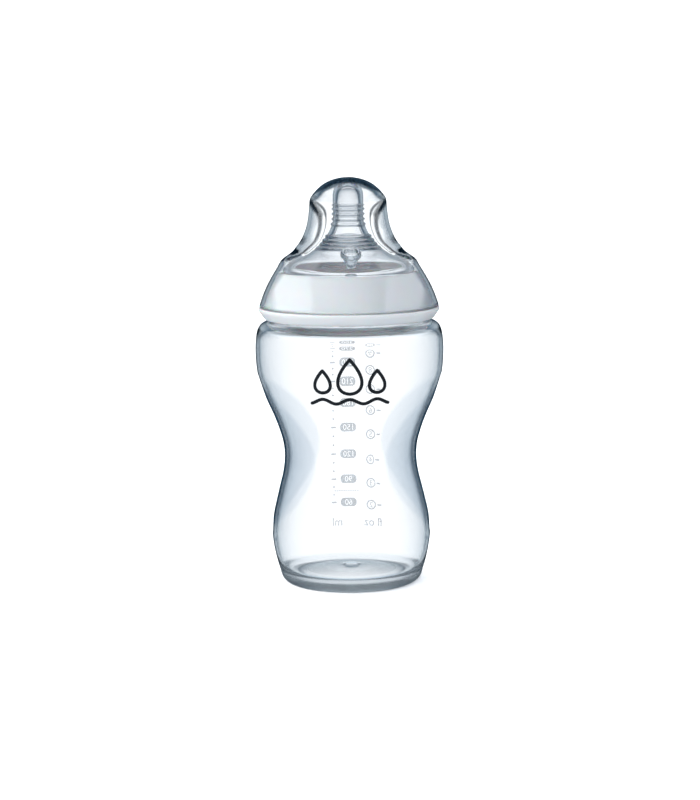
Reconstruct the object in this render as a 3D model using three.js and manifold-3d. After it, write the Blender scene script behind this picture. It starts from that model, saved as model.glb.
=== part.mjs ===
// Baby bottle: a clear waisted body with two side grips and a threaded wide neck, a screw ring,
// a one-piece teat with a moulded vent valve, and a clear snap-over hood.
// Millimetres. The foot stands on z = 0, +Z is up, the grips are at +X and -X, and -Y is the front.

import * as THREE from 'three';
import { mergeVertices } from 'three/addons/utils/BufferGeometryUtils.js';
import Module from 'manifold-3d';

const wasm = await Module();
wasm.setup();

// Facets around each turned piece.
const bodyFacets = 52;
const ringFacets = 48;
const hoodFacets = 48;
const teatFacets = 40;
const ventFacets = 20;

// Bottle body.
const bodyWall = 1.3;
const footInner = 23.0;
const footOuter = 26.2;
const neckRadius = 27.2;
const neckBore = 24.9;
const neckBottom = 109.2;
const neckTop = 120.2;
const neckRound = 0.4;
const shoulderHeight = 101.7;

// Outer radius of the round body at each height: [height, radius], and the heights that get a
// ring of corners on the outer and the inner skin.
const bodyStations = [
  [0.0, footOuter], [0.9, 27.6], [4.2, 29.0], [7.6, 30.1], [12.0, 31.2], [17.5, 32.1], [23.0, 32.6],
  [31.0, 33.0], [41.0, 33.1], [51.0, 33.3], [59.0, 33.7], [70.0, 34.6], [81.0, 36.5],
  [86.5, 37.5], [90.5, 37.9], [95.0, 38.05], [98.5, 37.9], [shoulderHeight, 37.5],
];

const bodyOuterHeights = [
  0.0, 0.9, 2.4, 4.6, 8.0, 14.0, 20, 25, 30, 35, 40, 45, 50, 55, 60, 65, 70, 75, 80, 85, 90, 95,
  shoulderHeight,
];
const bodyInnerHeights = [
  100.7, 95.0, 87.5, 80, 72.5, 65, 57.5, 50, 42.5, 35, 27.5, 20, 12.0,
];

// The rest of the body's profile, [radius, height]: the raised base with its small moulding nub,
// the shoulder's roll outside and inside, and the floor inside.
const puntProfile = [
  [0, 3.6], [2.8, 3.6], [3.2, 5.0], [11.0, 4.3], [17.5, 2.8], [22.3, 0.7], [footInner, 0],
];
const shoulderProfile = [
  [36.9, 103.6], [36.0, 105.1], [34.4, 106.1], [32.1, 106.7], [29.3, 107.1], [28.0, 107.6],
];
const innerShoulderProfile = [
  [25.8, 106.6], [28.0, 105.8], [31.6, 105.3], [33.7, 104.6], [35.2, 103.2],
];
const innerFloorProfile = [
  [28.6, 7.6], [27.4, 5.6], [25.2, 4.1], [22.0, 3.4], [17.5, 4.4], [11.0, 5.9], [0, 6.6],
];

// The two grips: [height, distance of the hollow's floor from the axis].
const gripStations = [
  [18.0, 33.4], [22.0, 32.5], [26.0, 31.95], [33.0, 30.4], [39.0, 28.95], [45.0, 27.5],
  [51.0, 26.8], [57.0, 27.2], [63.0, 28.85], [69.0, 31.1], [75.0, 33.8], [81.0, 36.2],
  [86.0, 38.6],
];
const gripRadius = 42.0;
const gripBlend = 1.2;
const gripBottom = 19.5;
const gripTop = 85.5;

// Screw thread, single start and right hand.
const threadLead = 6.0;
const threadBase = 1.3;
const threadCrest = 0.7;
const threadRoot = 0.5;
const threadFade = 8;
const threadEnd = 0.2;
const neckThreadRadius = 28.5;
const neckThreadHeight = 111.2;
const neckThreadTurns = [0.0, 1.1];
const ringThreadRadius = 27.75;
const ringThreadHeight = 109.0;
const ringThreadTurns = [0.2, 1.4];

// Screw ring: its closed profile of [radius, height] goes down the bore, round the collar's foot
// and the gap behind the skirt, along the ledge the hood stands on, and up to the in-turned lip.
const ringBore = 29.1;
const ringLipBore = 26.75;
const ringLipUnderside = 123.4;
const ringTop = 125.9;
const ringSeatRadius = 28.4;
const ringCollarBottom = 108.4;
const ringSkirtBottom = 107.4;
const ringLedge = 112.0;
const ringProfile = [
  [ringBore, ringCollarBottom], [30.6, ringCollarBottom], [30.7, 114.4], [31.3, 115.3],
  [32.4, 113.2], [33.7, 110.4], [32.6, ringSkirtBottom], [34.0, ringSkirtBottom],
  [35.5, 109.5], [36.5, 110.9], [36.5, 111.6], [36.2, ringLedge], [34.2, ringLedge],
  [33.6, 114.6], [32.5, 117.4], [31.2, 120.2], [29.8, 123.0], [28.6, 125.3],
  [28.2, ringTop], [ringLipBore, ringTop], [ringLipBore, ringLipUnderside],
  [ringSeatRadius, ringLipUnderside], [ringSeatRadius, 120.1], [ringBore, 119.6],
  [ringBore, ringCollarBottom],
];

// Hood.
const hoodWall = 1.5;
const hoodRim = 112.3;
const hoodTop = 164.0;
const hoodStations = [
  [hoodRim, 36.3], [117.0, 34.7], [121.5, 32.7], [126.0, 30.1], [129.2, 28.1], [132.4, 26.8],
  [136.0, 25.4], [140.0, 23.6], [144.0, 21.5], [148.0, 19.4], [152.0, 17.3], [154.5, 16.0],
  [156.4, 14.8], [158.2, 13.4], [160.0, 11.6], [161.6, 9.5], [162.8, 7.0], [163.6, 4.2],
];
const hoodOuterHeights = [
  hoodRim, 117.0, 121.5, 126.0, 129.2, 131.4, 134.2, 137.0, 139.8, 142.6, 145.4, 148.2, 151.0,
  153.8, 156.4, 159.0, 161.4, 163.0,
];
const hoodInnerCap = [
  [0, hoodTop - hoodWall], [4.6, 162.0], [8.6, 160.1], [11.6, 157.5], [13.9, 154.9],
];
const hoodInnerHeights = [151.4, 147.8, 144.2, 140.6, 137.0, 133.4, 129.8];
const hoodInnerSkirt = [[28.5, 126.0], [31.1, 121.5], [33.1, 117.0], [34.75, hoodRim]];

// The hood's two finger scoops: [height, distance of the scoop's floor from the axis]. The scoop
// is an upright arc that gets flatter below scoopRadiusHeight.
const scoopStations = [
  [128.0, 30.2], [130.8, 27.5], [132.4, 25.3], [134.2, 22.8], [136.5, 20.9], [139.0, 19.1],
  [142.0, 17.7], [145.0, 16.7], [148.5, 16.05], [152.0, 15.65], [155.0, 15.5], [158.0, 15.6],
];
const scoopRadius = 24.5;
const scoopRadiusHeight = 150.0;
const scoopRadiusGrowth = 1.2;
const scoopBlend = 0.7;
const scoopBottom = 128.5;
const scoopTop = 157.5;

// Teat: [radius, height] up the outside of the flange and dome, up the round tip, and back down
// the inner skin, with the ribs of the flare and the stem in between.
const teatTip = 161.2;
const teatFlangeBottom = 120.5;
const teatFlangeTop = 123.1;
const teatGroove = 26.1;
const teatDomeProfile = [
  [28.0, teatFlangeBottom], [28.0, teatFlangeTop], [teatGroove, teatFlangeTop],
  [teatGroove, 126.1], [26.5, 126.6], [26.2, 127.8], [25.2, 129.1], [23.6, 130.2],
  [21.4, 131.3], [18.6, 132.7], [15.6, 134.2],
];
const teatTipProfile = [
  [6.0, 154.6], [6.2, 156.4], [6.0, 158.0], [5.2, 159.7], [3.6, 160.7], [1.8, 161.1],
  [0, teatTip],
];
const teatInnerProfile = [
  [0, 159.6], [2.6, 159.2], [4.1, 157.9], [4.5, 156.0], [4.3, 146.0], [5.9, 142.4], [7.9, 138.6],
  [11.0, 135.2], [15.0, 132.6], [20.4, 129.9], [23.2, 128.3], [24.3, 126.6], [24.3, 121.5],
  [24.7, teatFlangeBottom],
];
const stemRadius = 6.0;
const stemRibs = { from: 145.1, pitch: 2.0, count: 5, height: 0.6 };
const flareRibs = [[12.5, 135.8], [11.2, 137.0], [9.9, 138.4], [8.8, 140.1], [7.9, 141.8]];
const flareRibHeight = 0.35;
const flareRibSlope = 0.6;
const ribHalfWidth = 0.45;

// Vent valve, about its own axis: [radius, height] of the snout outside and the pocket inside,
// with height 0 at its mouth. It leans to the front.
const ventPlace = { x: 0.9, y: -15.2, z: 134.5, lean: 0.49 };
const ventSnout = [
  [0, -7.4], [1.7, -7.4], [3.4, -3.5], [3.65, -1.7], [3.65, 0.2], [3.35, 0.5], [0, 0.5],
];
const ventPocket = [[0, -6.5], [0.8, -6.5], [2.5, -3.1], [2.7, -1.7], [2.7, 1.5], [0, 1.5]];

// A smooth line through stations of [height, radius], read at any height.
function radiusThrough(stations) {
  const heights = stations.map(([height]) => height);
  const radii = stations.map(([, radius]) => radius);
  const line = new THREE.CubicInterpolant(heights, radii, 1);
  return (height) => line.evaluate(height)[0];
}

// The lower of two radii, rounded over within a band of the given width.
function smoothMin(a, b, band) {
  const near = Math.max(band - Math.abs(a - b), 0) / band;
  return Math.min(a, b) - (near * near * band) / 4;
}

// Turns a closed profile of [radius, height] points about the vertical axis.
function turned(points, facets) {
  const profile = points.map(([radius, height]) => new THREE.Vector2(radius, height));
  const geometry = new THREE.LatheGeometry(profile, facets);
  geometry.rotateX(Math.PI / 2);
  return welded(geometry);
}

// Joins equal corners and drops the faces that close up to a line where a profile meets the axis.
function welded(geometry) {
  geometry.deleteAttribute('normal');
  geometry.deleteAttribute('uv');
  const merged = mergeVertices(geometry, 1e-4);
  const index = merged.getIndex();
  const kept = [];
  for (let i = 0; i < index.count; i += 3) {
    const [a, b, c] = [index.getX(i), index.getX(i + 1), index.getX(i + 2)];
    if (a !== b && b !== c && c !== a) kept.push(a, b, c);
  }
  merged.setIndex(kept);
  return merged;
}

// Distance from the axis to a flatter upright arc, at an angle from the X axis. The arc's nearest
// point is floor millimetres from the axis, and its own radius is arcRadius.
function arcDistance(angle, floor, arcRadius) {
  const centre = floor - arcRadius;
  const across = centre * Math.sin(angle);
  return centre * Math.abs(Math.cos(angle)) + Math.sqrt(arcRadius * arcRadius - across * across);
}

// Presses a pair of hollows into a turned shell at +X and -X, the same on its outer and inner skin.
function pressHollows(geometry, shell, hollow) {
  const position = geometry.getAttribute('position');
  for (let i = 0; i < position.count; i += 1) {
    const [x, y, z] = [position.getX(i), position.getY(i), position.getZ(i)];
    if (z < hollow.from || z > hollow.to) continue;
    const radius = Math.hypot(x, y);
    const depth = radius > shell.radiusAt(z) - shell.wall / 2 ? 0 : shell.wall;
    const arcRadius = hollow.arcRadiusAt(z) - depth;
    const limit = arcDistance(Math.atan2(y, x), hollow.floorAt(z) - depth, arcRadius);
    const pressed = smoothMin(radius, limit, hollow.blend);
    position.setXY(i, (x * pressed) / radius, (y * pressed) / radius);
  }
  return geometry;
}

// A thread ridge: a long block bent round a helix, with its crest fading out at both ends.
function threadRidge(rootRadius, crestRadius, height, turns, facets) {
  const [first, last] = turns;
  const steps = Math.round((last - first) * facets);
  const geometry = new THREE.BoxGeometry(1, 1, 1, 1, steps, 1);
  const position = geometry.getAttribute('position');
  const buried = rootRadius + Math.sign(rootRadius - crestRadius) * threadRoot;
  const outward = crestRadius > rootRadius;
  for (let i = 0; i < position.count; i += 1) {
    const along = position.getY(i) + 0.5;
    const atCrest = position.getX(i) > 0 === outward;
    const fade = Math.min(1, threadFade * Math.min(along, 1 - along) + threadEnd);
    const crest = rootRadius + (crestRadius - rootRadius) * fade;
    const radius = atCrest ? crest : buried;
    const halfHeight = atCrest ? threadCrest : threadBase;
    const turn = first + (last - first) * along;
    const angle = 2 * Math.PI * (turn + 0.5 / facets);
    const level = height + threadLead * turn + 2 * position.getZ(i) * halfHeight;
    position.setXYZ(i, radius * Math.cos(angle), radius * Math.sin(angle), level);
  }
  return welded(geometry);
}

function solid(geometry) {
  const position = new Float32Array(geometry.getAttribute('position').array);
  const corners = new Uint32Array(geometry.getIndex().array);
  const mesh = new wasm.Mesh({ numProp: 3, vertProperties: position, triVerts: corners });
  return new wasm.Manifold(mesh);
}

function surface(manifold) {
  const mesh = manifold.getMesh();
  const geometry = new THREE.BufferGeometry();
  geometry.setAttribute('position', new THREE.BufferAttribute(mesh.vertProperties, mesh.numProp));
  geometry.setIndex(new THREE.BufferAttribute(mesh.triVerts, 1));
  return geometry;
}

function piece(name, geometry, look) {
  geometry.computeVertexNormals();
  const mesh = new THREE.Mesh(geometry, new THREE.MeshStandardMaterial(look));
  mesh.name = name;
  return mesh;
}

// Bottle body: foot ring, raised floor with a moulding nub, waisted wall, shoulder and neck.
function makeBody() {
  const radiusAt = radiusThrough(bodyStations);
  const profile = [
    ...puntProfile,
    ...bodyOuterHeights.map((z) => [radiusAt(z), z]),
    ...shoulderProfile,
    [neckRadius, neckBottom], [neckRadius, neckTop - neckRound],
    [neckRadius - neckRound, neckTop], [neckBore + neckRound, neckTop],
    [neckBore, neckTop - neckRound], [neckBore, neckBottom - neckRound],
    ...innerShoulderProfile,
    ...bodyInnerHeights.map((z) => [radiusAt(z) - bodyWall, z]),
    ...innerFloorProfile,
  ];
  const shell = { radiusAt, wall: bodyWall };
  const grip = {
    from: gripBottom,
    to: gripTop,
    floorAt: radiusThrough(gripStations),
    arcRadiusAt: () => gripRadius,
    blend: gripBlend,
  };
  const body = solid(pressHollows(turned(profile, bodyFacets), shell, grip));
  const ridge = threadRidge(
    neckRadius, neckThreadRadius, neckThreadHeight, neckThreadTurns, bodyFacets,
  );
  return surface(body.add(solid(ridge)));
}

// Screw ring: an in-turned lip that clamps the teat, a threaded collar and a flared outer skirt.
function makeRing() {
  const ring = solid(turned(ringProfile, ringFacets));
  const ridge = threadRidge(
    ringBore, ringThreadRadius, ringThreadHeight, ringThreadTurns, ringFacets,
  );
  return surface(ring.add(solid(ridge)));
}

// A rib as three profile points: its crest, and its two feet on a wall that leans in by slope.
function ribPoints(radius, height, rise, slope) {
  const lower = [radius + slope * ribHalfWidth, height - ribHalfWidth];
  const upper = [radius - slope * ribHalfWidth, height + ribHalfWidth];
  return [lower, [radius + rise, height], upper];
}

// Teat: flange and groove for the ring's lip, domed base, ribbed flare and stem, round tip, and a
// vent valve moulded in the front of the dome.
function makeTeat() {
  const flare = flareRibs.flatMap(([radius, height]) => (
    ribPoints(radius, height, flareRibHeight, flareRibSlope)
  ));
  const stem = [];
  for (let i = 0; i < stemRibs.count; i += 1) {
    stem.push(...ribPoints(stemRadius, stemRibs.from + i * stemRibs.pitch, stemRibs.height, 0));
  }
  const profile = [
    ...teatDomeProfile, ...flare, ...stem, ...teatTipProfile, ...teatInnerProfile,
    teatDomeProfile[0],
  ];
  const place = (points) => (
    turned(points, ventFacets)
      .rotateX(ventPlace.lean)
      .translate(ventPlace.x, ventPlace.y, ventPlace.z)
  );
  const shell = solid(turned(profile, teatFacets));
  return surface(shell.add(solid(place(ventSnout))).subtract(solid(place(ventPocket))));
}

// Hood: a clear cap with a domed top, a flared lower cone and a finger scoop on each side.
function makeHood() {
  const radiusAt = radiusThrough(hoodStations);
  const shell = { radiusAt, wall: hoodWall };
  const scoop = {
    from: scoopBottom,
    to: scoopTop,
    floorAt: radiusThrough(scoopStations),
    arcRadiusAt: (z) => scoopRadius + scoopRadiusGrowth * Math.max(0, scoopRadiusHeight - z),
    blend: scoopBlend,
  };
  const outer = hoodOuterHeights.map((z) => [radiusAt(z), z]);
  const profile = [
    ...outer,
    [0, hoodTop],
    ...hoodInnerCap,
    ...hoodInnerHeights.map((z) => [radiusAt(z) - hoodWall, z]),
    ...hoodInnerSkirt,
    outer[0],
  ];
  return pressHollows(turned(profile, hoodFacets), shell, scoop);
}

const clearPlastic = { color: 0xdfe7ec, roughness: 0.12, metalness: 0.0 };
const milkyPlastic = { color: 0xeef1f4, roughness: 0.42, metalness: 0.0 };
const clearSilicone = { color: 0xe6e9ea, roughness: 0.3, metalness: 0.0 };

const bottle = new THREE.Group();
bottle.name = 'baby_bottle';
bottle.add(piece('bottle_body', makeBody(), clearPlastic));
bottle.add(piece('teat', makeTeat(), clearSilicone));
bottle.add(piece('screw_ring', makeRing(), milkyPlastic));
bottle.add(piece('hood', makeHood(), { ...clearPlastic, roughness: 0.08 }));

export default bottle;
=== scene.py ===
import math

import bmesh
import bpy
import numpy as np
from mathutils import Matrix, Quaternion, Vector


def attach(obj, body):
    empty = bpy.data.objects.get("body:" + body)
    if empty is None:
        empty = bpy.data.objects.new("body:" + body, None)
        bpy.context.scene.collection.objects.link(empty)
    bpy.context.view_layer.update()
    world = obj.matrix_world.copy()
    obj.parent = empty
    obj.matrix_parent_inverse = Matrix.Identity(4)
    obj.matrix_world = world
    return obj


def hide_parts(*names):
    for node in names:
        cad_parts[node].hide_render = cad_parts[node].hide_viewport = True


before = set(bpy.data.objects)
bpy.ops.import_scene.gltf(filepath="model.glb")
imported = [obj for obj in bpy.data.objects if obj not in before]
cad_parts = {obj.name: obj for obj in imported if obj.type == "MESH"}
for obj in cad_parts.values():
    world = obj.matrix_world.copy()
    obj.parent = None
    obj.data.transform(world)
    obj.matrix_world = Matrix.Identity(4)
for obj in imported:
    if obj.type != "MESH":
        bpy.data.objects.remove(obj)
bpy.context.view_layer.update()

mm = 0.001
turn = 2 * math.pi
scene = bpy.context.scene


def newObject(name, data):
    # an object in the scene
    item = bpy.data.objects.new(name, data)
    scene.collection.objects.link(item)
    return item


def linear(hexColour):
    # sRGB hex to the linear colour that shaders want
    values = [int(hexColour[i:i + 2], 16) / 255 for i in (1, 3, 5)]
    return (*[v / 12.92 if v <= 0.04045 else ((v + 0.055) / 1.055) ** 2.4 for v in values], 1.0)


def addNode(tree, kind, settings=None, links=None):
    # one shader node, with its properties, socket values or colour stops set and inputs linked
    node = tree.nodes.new("ShaderNode" + kind)
    for name, value in (settings or {}).items():
        if name == "stops":
            band = node.color_ramp.elements
            while len(band) < len(value):
                band.new(0.5)
            for element, (position, colour) in zip(band, value):
                element.position = position
                element.color = linear(colour)
        elif isinstance(name, int) or name in node.inputs:
            node.inputs[name].default_value = value
        else:
            setattr(node, name, value)
    for name, socket in (links or {}).items():
        tree.links.new(socket, node.inputs[name])
    return node


def newMaterial(name):
    material = bpy.data.materials.new(name)
    material.use_nodes = True
    material.node_tree.nodes.clear()
    return material, material.node_tree


def smoothLine(stations):
    # radius at any height: a cubic through [height, radius] stations, whose slope at each
    # station is its neighbours' slopes weighted by the distance to the other side
    z, r = np.array(stations, float).T
    step = np.diff(z)
    rise = np.diff(r) / step
    slope = np.concatenate([[rise[0]], (rise[:-1] * step[1:] + rise[1:] * step[:-1])
                            / (step[1:] + step[:-1]), [rise[-1]]])

    def line(height):
        h = np.clip(height, z[0], z[-1])
        i = np.clip(np.searchsorted(z, h) - 1, 0, len(step) - 1)
        t = (h - z[i]) / step[i]
        return ((1 + 2 * t) * (1 - t) ** 2 * r[i] + t * (1 - t) ** 2 * step[i] * slope[i]
                + t * t * (3 - 2 * t) * r[i + 1] + t * t * (t - 1) * step[i] * slope[i + 1])
    return line


# how finely outlines are divided: gaps in mm, and pieces of a rounded corner
fineness = {"gap": 1.3, "cornerGap": 1.15, "least": 2, "most": 8, "same": 1e-4}


def filletedPath(corners, closed=False, step=fineness["gap"]):
    # a path through [radius, height, fillet, step] corners. A corner is a parabola that starts
    # and ends its fillet's length away, at most half an edge, and straight runs get even steps.
    # So a fillet of 9 is as round as its edges allow
    points = [np.array(c[:2], float) for c in corners]
    fillets = [c[2] if len(c) > 2 else 0.0 for c in corners]
    steps = [c[3] if len(c) > 3 else step for c in corners]
    count = len(points)
    path = []
    for i, point in enumerate(points):
        if not closed and i in (0, count - 1):
            path.append((point[None], steps[i]))
            continue
        before, after = points[i - 1], points[(i + 1) % count]
        reach = [min(fillets[i], 0.5 * np.linalg.norm(side - point)) for side in (before, after)]
        start = point + (before - point) / np.linalg.norm(before - point) * reach[0]
        end = point + (after - point) / np.linalg.norm(after - point) * reach[1]
        pieces = math.ceil((reach[0] + reach[1]) / fineness["cornerGap"])
        pieces = max(fineness["least"], min(fineness["most"], pieces))
        t = np.linspace(0, 1, pieces + 1)[:, None] if fillets[i] else np.array([[0.5]])
        path.append(((1 - t) ** 2 * start + 2 * t * (1 - t) * point + t ** 2 * end, steps[i]))
    out = []
    for i, (run, gap) in enumerate(path):
        out.append(run)
        if i + 1 < len(path) or closed:
            here, there = run[-1], path[(i + 1) % len(path)][0][0]
            length = np.linalg.norm(there - here)
            inner = max(0, math.ceil(length / gap) - 1)
            t = (np.arange(inner) + 1)[:, None] / (inner + 1)
            out.append(here + (there - here) * t)
    path = np.concatenate(out)
    keep = np.ones(len(path), bool)
    keep[1:] = np.linalg.norm(np.diff(path, axis=0), axis=1) > fineness["same"]
    if closed and np.linalg.norm(path[0] - path[-1]) < fineness["same"]:
        keep[-1] = False
    return path[keep]


def finer(path, gap, low, high):
    # the same line with a point every gap between two heights, read off smooth curves of the
    # radius and the height along its length
    along = np.concatenate([[0], np.cumsum(np.linalg.norm(np.diff(path, axis=0), axis=1))])
    inside = (path[:, 1] > low) & (path[:, 1] < high)
    first, last = along[inside][[0, -1]]
    extra = np.linspace(first, last, math.ceil((last - first) / gap))
    places = np.concatenate([along[along < first], extra, along[along > last]])
    return np.column_stack([smoothLine(np.column_stack([along, path[:, k]]))(places)
                            for k in (0, 1)])


def smoothMin(a, b, band):
    # the lower of two radii, rounded over within a band
    near = np.clip(band - np.abs(a - b), 0, None) / band
    return np.minimum(a, b) - near ** 2 * band / 4


def smoothStep(value, low, high):
    # from 0 to 1 between two values, level at both ends
    t = np.clip((value - low) / (high - low), 0, 1)
    return t * t * (3 - 2 * t)


def bell(value, middle, width, power=2):
    # 1 at the middle, falling away on both sides. A higher power has a flatter top
    return np.exp(-((value - middle) / width) ** power)


def arcDistance(angle, floor, arcRadius):
    # distance from the axis to a flatter upright arc whose nearest point is on the X axis
    centre = floor - arcRadius
    across = centre * np.sin(angle)
    return centre * np.abs(np.cos(angle)) + np.sqrt(arcRadius ** 2 - across ** 2)


def threadRise(angle, height, thread):
    # how far a helical ridge stands out of its wall: a smooth step of the distance from the
    # helix, whose height grows by the lead each turn, faded out at both ends
    total = np.zeros(np.broadcast(angle, height).shape)
    first, last = thread["turns"]
    for lap in range(math.floor(first), math.ceil(last)):
        along = angle / turn + lap
        fade = smoothStep(np.minimum(along - first, last - along), 0.0, thread["fade"])
        away = np.abs(height - thread["height"] - thread["lead"] * along)
        ridge = 1 - smoothStep(away, thread["crest"], thread["base"])
        total = np.maximum(total, ridge * fade)
    return np.where((height > thread["from"]) & (height < thread["to"]), thread["rise"], 0) * total


def gridFaces(points, closedPath=False, poles=(False, False)):
    # corners and faces from a grid of points, rows along a path and columns round it. Columns
    # always wrap, rows wrap on a closed path, and a row that is a single point becomes a fan
    rows, columns = points.shape[:2]
    index = np.arange(rows * columns).reshape(rows, columns)
    low, high = index, np.roll(index, -1, axis=0)
    if not closedPath:
        low, high = low[:-1], high[:-1]
    quads = np.stack([low, np.roll(low, -1, 1), np.roll(high, -1, 1), high], axis=-1)
    firstRow, lastRow = (1 if poles[0] else 0), len(quads) - (1 if poles[1] else 0)
    faces = quads[firstRow:lastRow].reshape(-1, 4)
    loops = [faces.ravel()]
    sizes = [np.full(len(faces), 4)]
    for pole, tip, here, there in ((poles[0], index[0, 0], np.roll(index[1], -1), index[1]),
                                   (poles[1], index[-1, 0], index[-2], np.roll(index[-2], -1))):
        if pole:
            loops.append(np.stack([np.full(columns, tip), here, there], -1).ravel())
            sizes.append(np.full(columns, 3))
    loops, sizes = np.concatenate(loops), np.concatenate(sizes)
    used, loops = np.unique(loops, return_inverse=True)
    return points.reshape(-1, points.shape[2])[used], loops.ravel(), sizes


def meshFrom(name, parts, smooth=True):
    # one mesh from several (corners in millimetres, run of corner numbers, corners per face)
    first = np.cumsum([0] + [len(part[0]) for part in parts])
    corners = np.concatenate([part[0] for part in parts])
    loops = np.concatenate([part[1] + start for part, start in zip(parts, first)])
    sizes = np.concatenate([part[2] for part in parts])
    mesh = bpy.data.meshes.new(name)
    mesh.vertices.add(len(corners))
    mesh.vertices.foreach_set("co", (corners[:, :3] * mm).astype(np.float32).ravel())
    mesh.loops.add(len(loops))
    mesh.loops.foreach_set("vertex_index", loops.astype(np.int32))
    mesh.polygons.add(len(sizes))
    mesh.polygons.foreach_set("loop_start", (np.cumsum(sizes) - sizes).astype(np.int32))
    mesh.polygons.foreach_set("loop_total", sizes.astype(np.int32))
    mesh.polygons.foreach_set("use_smooth", np.full(len(sizes), smooth))
    mesh.update(calc_edges=True)
    mesh.validate()
    # further values at each corner are kept for the material: the first for painted dark lines and
    # painted shade in pressed places, the second, edge, for how far the painted dark edge band
    # spreads
    for values, label in zip(corners[:, 3:].T, ("mark", "edge")):
        layer = mesh.attributes.new(label, "FLOAT", "POINT")
        layer.data.foreach_set("value", values.astype(np.float32))
    return newObject(name, mesh)


def revolve(path, columns):
    # the path's radius and height on a grid of rows along it and columns round the axis
    angle = np.arange(columns) * turn / columns
    radius = np.repeat(path[:, :1], columns, axis=1)
    height = np.repeat(path[:, 1:2], columns, axis=1)
    return np.broadcast_to(angle, radius.shape), radius, height


def cartesian(angle, radius, height):
    return np.stack([radius * np.cos(angle), radius * np.sin(angle), height], axis=-1)


def wallPath(stations, heights, inwards=0.0, *step):
    # corners on the wall at some heights, as round as their edges allow
    radiusAt = smoothLine(stations)
    return [[float(radiusAt(z)) - inwards, z, 9.0, *step] for z in heights]


nowhereNear = -9.0    # a hollow's depth where there is none


def pressHollows(angle, radius, height, spec, hollow):
    # a hollow at +X and one at -X, as the lower of the round wall and a flatter arc, on the
    # outer skin and, a wall's thickness in, on the inner skin. Also gives how far in the arc is
    # from the round wall, which is nought along the crease
    radiusAt = smoothLine(spec["stations"])
    skin = np.where(radius > radiusAt(height) - spec["wall"] / 2, 0.0, spec["wall"])
    floor = smoothLine(hollow["floor"])(height) - skin
    arc = hollow["arc"] + hollow["arcGrowth"] * np.clip(hollow["arcHeight"] - height, 0, None)
    limit = arcDistance(angle, floor, arc - skin)
    pressed = smoothMin(radius, limit, hollow["blend"])
    inside = (height > hollow["from"]) & (height < hollow["to"])
    return np.where(inside, pressed, radius), np.where(inside, radius - limit, nowhereNear)


# Bottle body, in millimetres. Stations are [height, radius], and the other outlines are
# [radius, height, fillet, step]. The grips' floor is given as [height, distance from the axis],
# and each grip is an upright arc, flatter than the body
bottle = {
    "wall": 1.3,
    "columns": 280,
    "stations": [
        [0.0, 26.2], [0.9, 27.6], [4.2, 29.0], [7.6, 30.1], [12.0, 31.2], [17.5, 32.1],
        [23.0, 32.6], [31.0, 33.0], [41.0, 33.1], [51.0, 33.3], [59.0, 33.7], [70.0, 34.6],
        [81.0, 36.5], [86.5, 37.5], [90.5, 37.9], [95.0, 38.05], [98.5, 37.9], [101.7, 37.5]],
    "foot": [
        [0, 3.6], [2.6, 3.6, 0.5], [3.1, 5.0, 0.5], [7.0, 4.8, 9], [11.0, 4.2, 9],
        [17.5, 2.7, 9], [21.6, 1.3, 2.0], [22.6, 0.1, 0.5], [23.2, 0.0, 0.3], [26.0, 0.0, 0.5]],
    "outerHeights": (
        0.9, 2.4, 4.6, 7.6, 11.0, 15.0, 19.5, 24.0, 29.0, 34.0, 39.0, 44.0, 49.0, 54.0, 59.0,
        64.0, 69.0, 74.0, 79.0, 83.5, 87.5, 91.5, 95.5, 99.0, 101.7),
    "shoulder": [
        [36.9, 103.7, 9], [35.9, 105.2, 9], [34.2, 106.2, 9], [31.8, 106.8, 9],
        [29.2, 107.2, 9], [27.7, 107.9, 9]],
    "neck": [[27.2, 109.3, 1.0, 0.28], [27.2, 120.2, 0.5], [24.9, 120.2, 0.5],
             [24.9, 108.4, 2.0]],
    "innerShoulder": [
        [25.9, 106.5, 9], [28.4, 105.6, 9], [31.6, 105.1, 9], [33.9, 104.3, 9], [35.3, 103.0, 9]],
    "innerHeights": (
        100.5, 97.0, 92.5, 88.0, 83.5, 79.0, 74.0, 69.0, 64.0, 59.0, 54.0, 49.0, 44.0, 39.0,
        34.0, 29.0, 24.0, 19.0, 14.5, 11.0),
    "innerFloor": [
        [28.7, 7.7, 9], [27.4, 5.5, 9], [25.0, 4.0, 9], [21.6, 3.3, 9], [17.0, 4.4, 9],
        [11.0, 5.9, 9], [5.0, 6.5, 9], [0, 6.6]],
    "grip": {"floor": [
        [18.0, 33.4], [22.0, 32.5], [26.0, 31.95], [33.0, 30.4], [39.0, 28.95], [45.0, 27.5],
        [51.0, 26.8], [57.0, 27.2], [63.0, 28.85], [69.0, 31.1], [75.0, 33.8], [81.0, 36.2],
        [86.0, 38.6]],
             "arc": 42.0, "arcGrowth": 0.0, "arcHeight": 0.0, "blend": 2.0, "from": 19.5,
             "to": 85.5},
    "gripPaintedShade": (-0.2, 0.7),         # depths between which a grip's painted shade comes in
    "footTo": (4.0, 9.0),            # heights between which the foot's narrower painted dark edge ends
    # how much the painted dark edge band narrows at the foot
    "footShadeCut": -2.6,
    "neckWall": 26.9,                # the thread is on what lies outside this radius
    "thread": {"height": 111.2, "lead": 6.0, "turns": (0.0, 1.1), "fade": 0.06, "base": 1.3,
               "crest": 0.6, "rise": 1.3, "from": 108.5, "to": 120.0},
    # for what it holds: where the floor's outline meets the wall's, and heights up to the top
    "fill": {"join": [29.6, 11.0], "top": 104.0, "steps": 2000},
}


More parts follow.
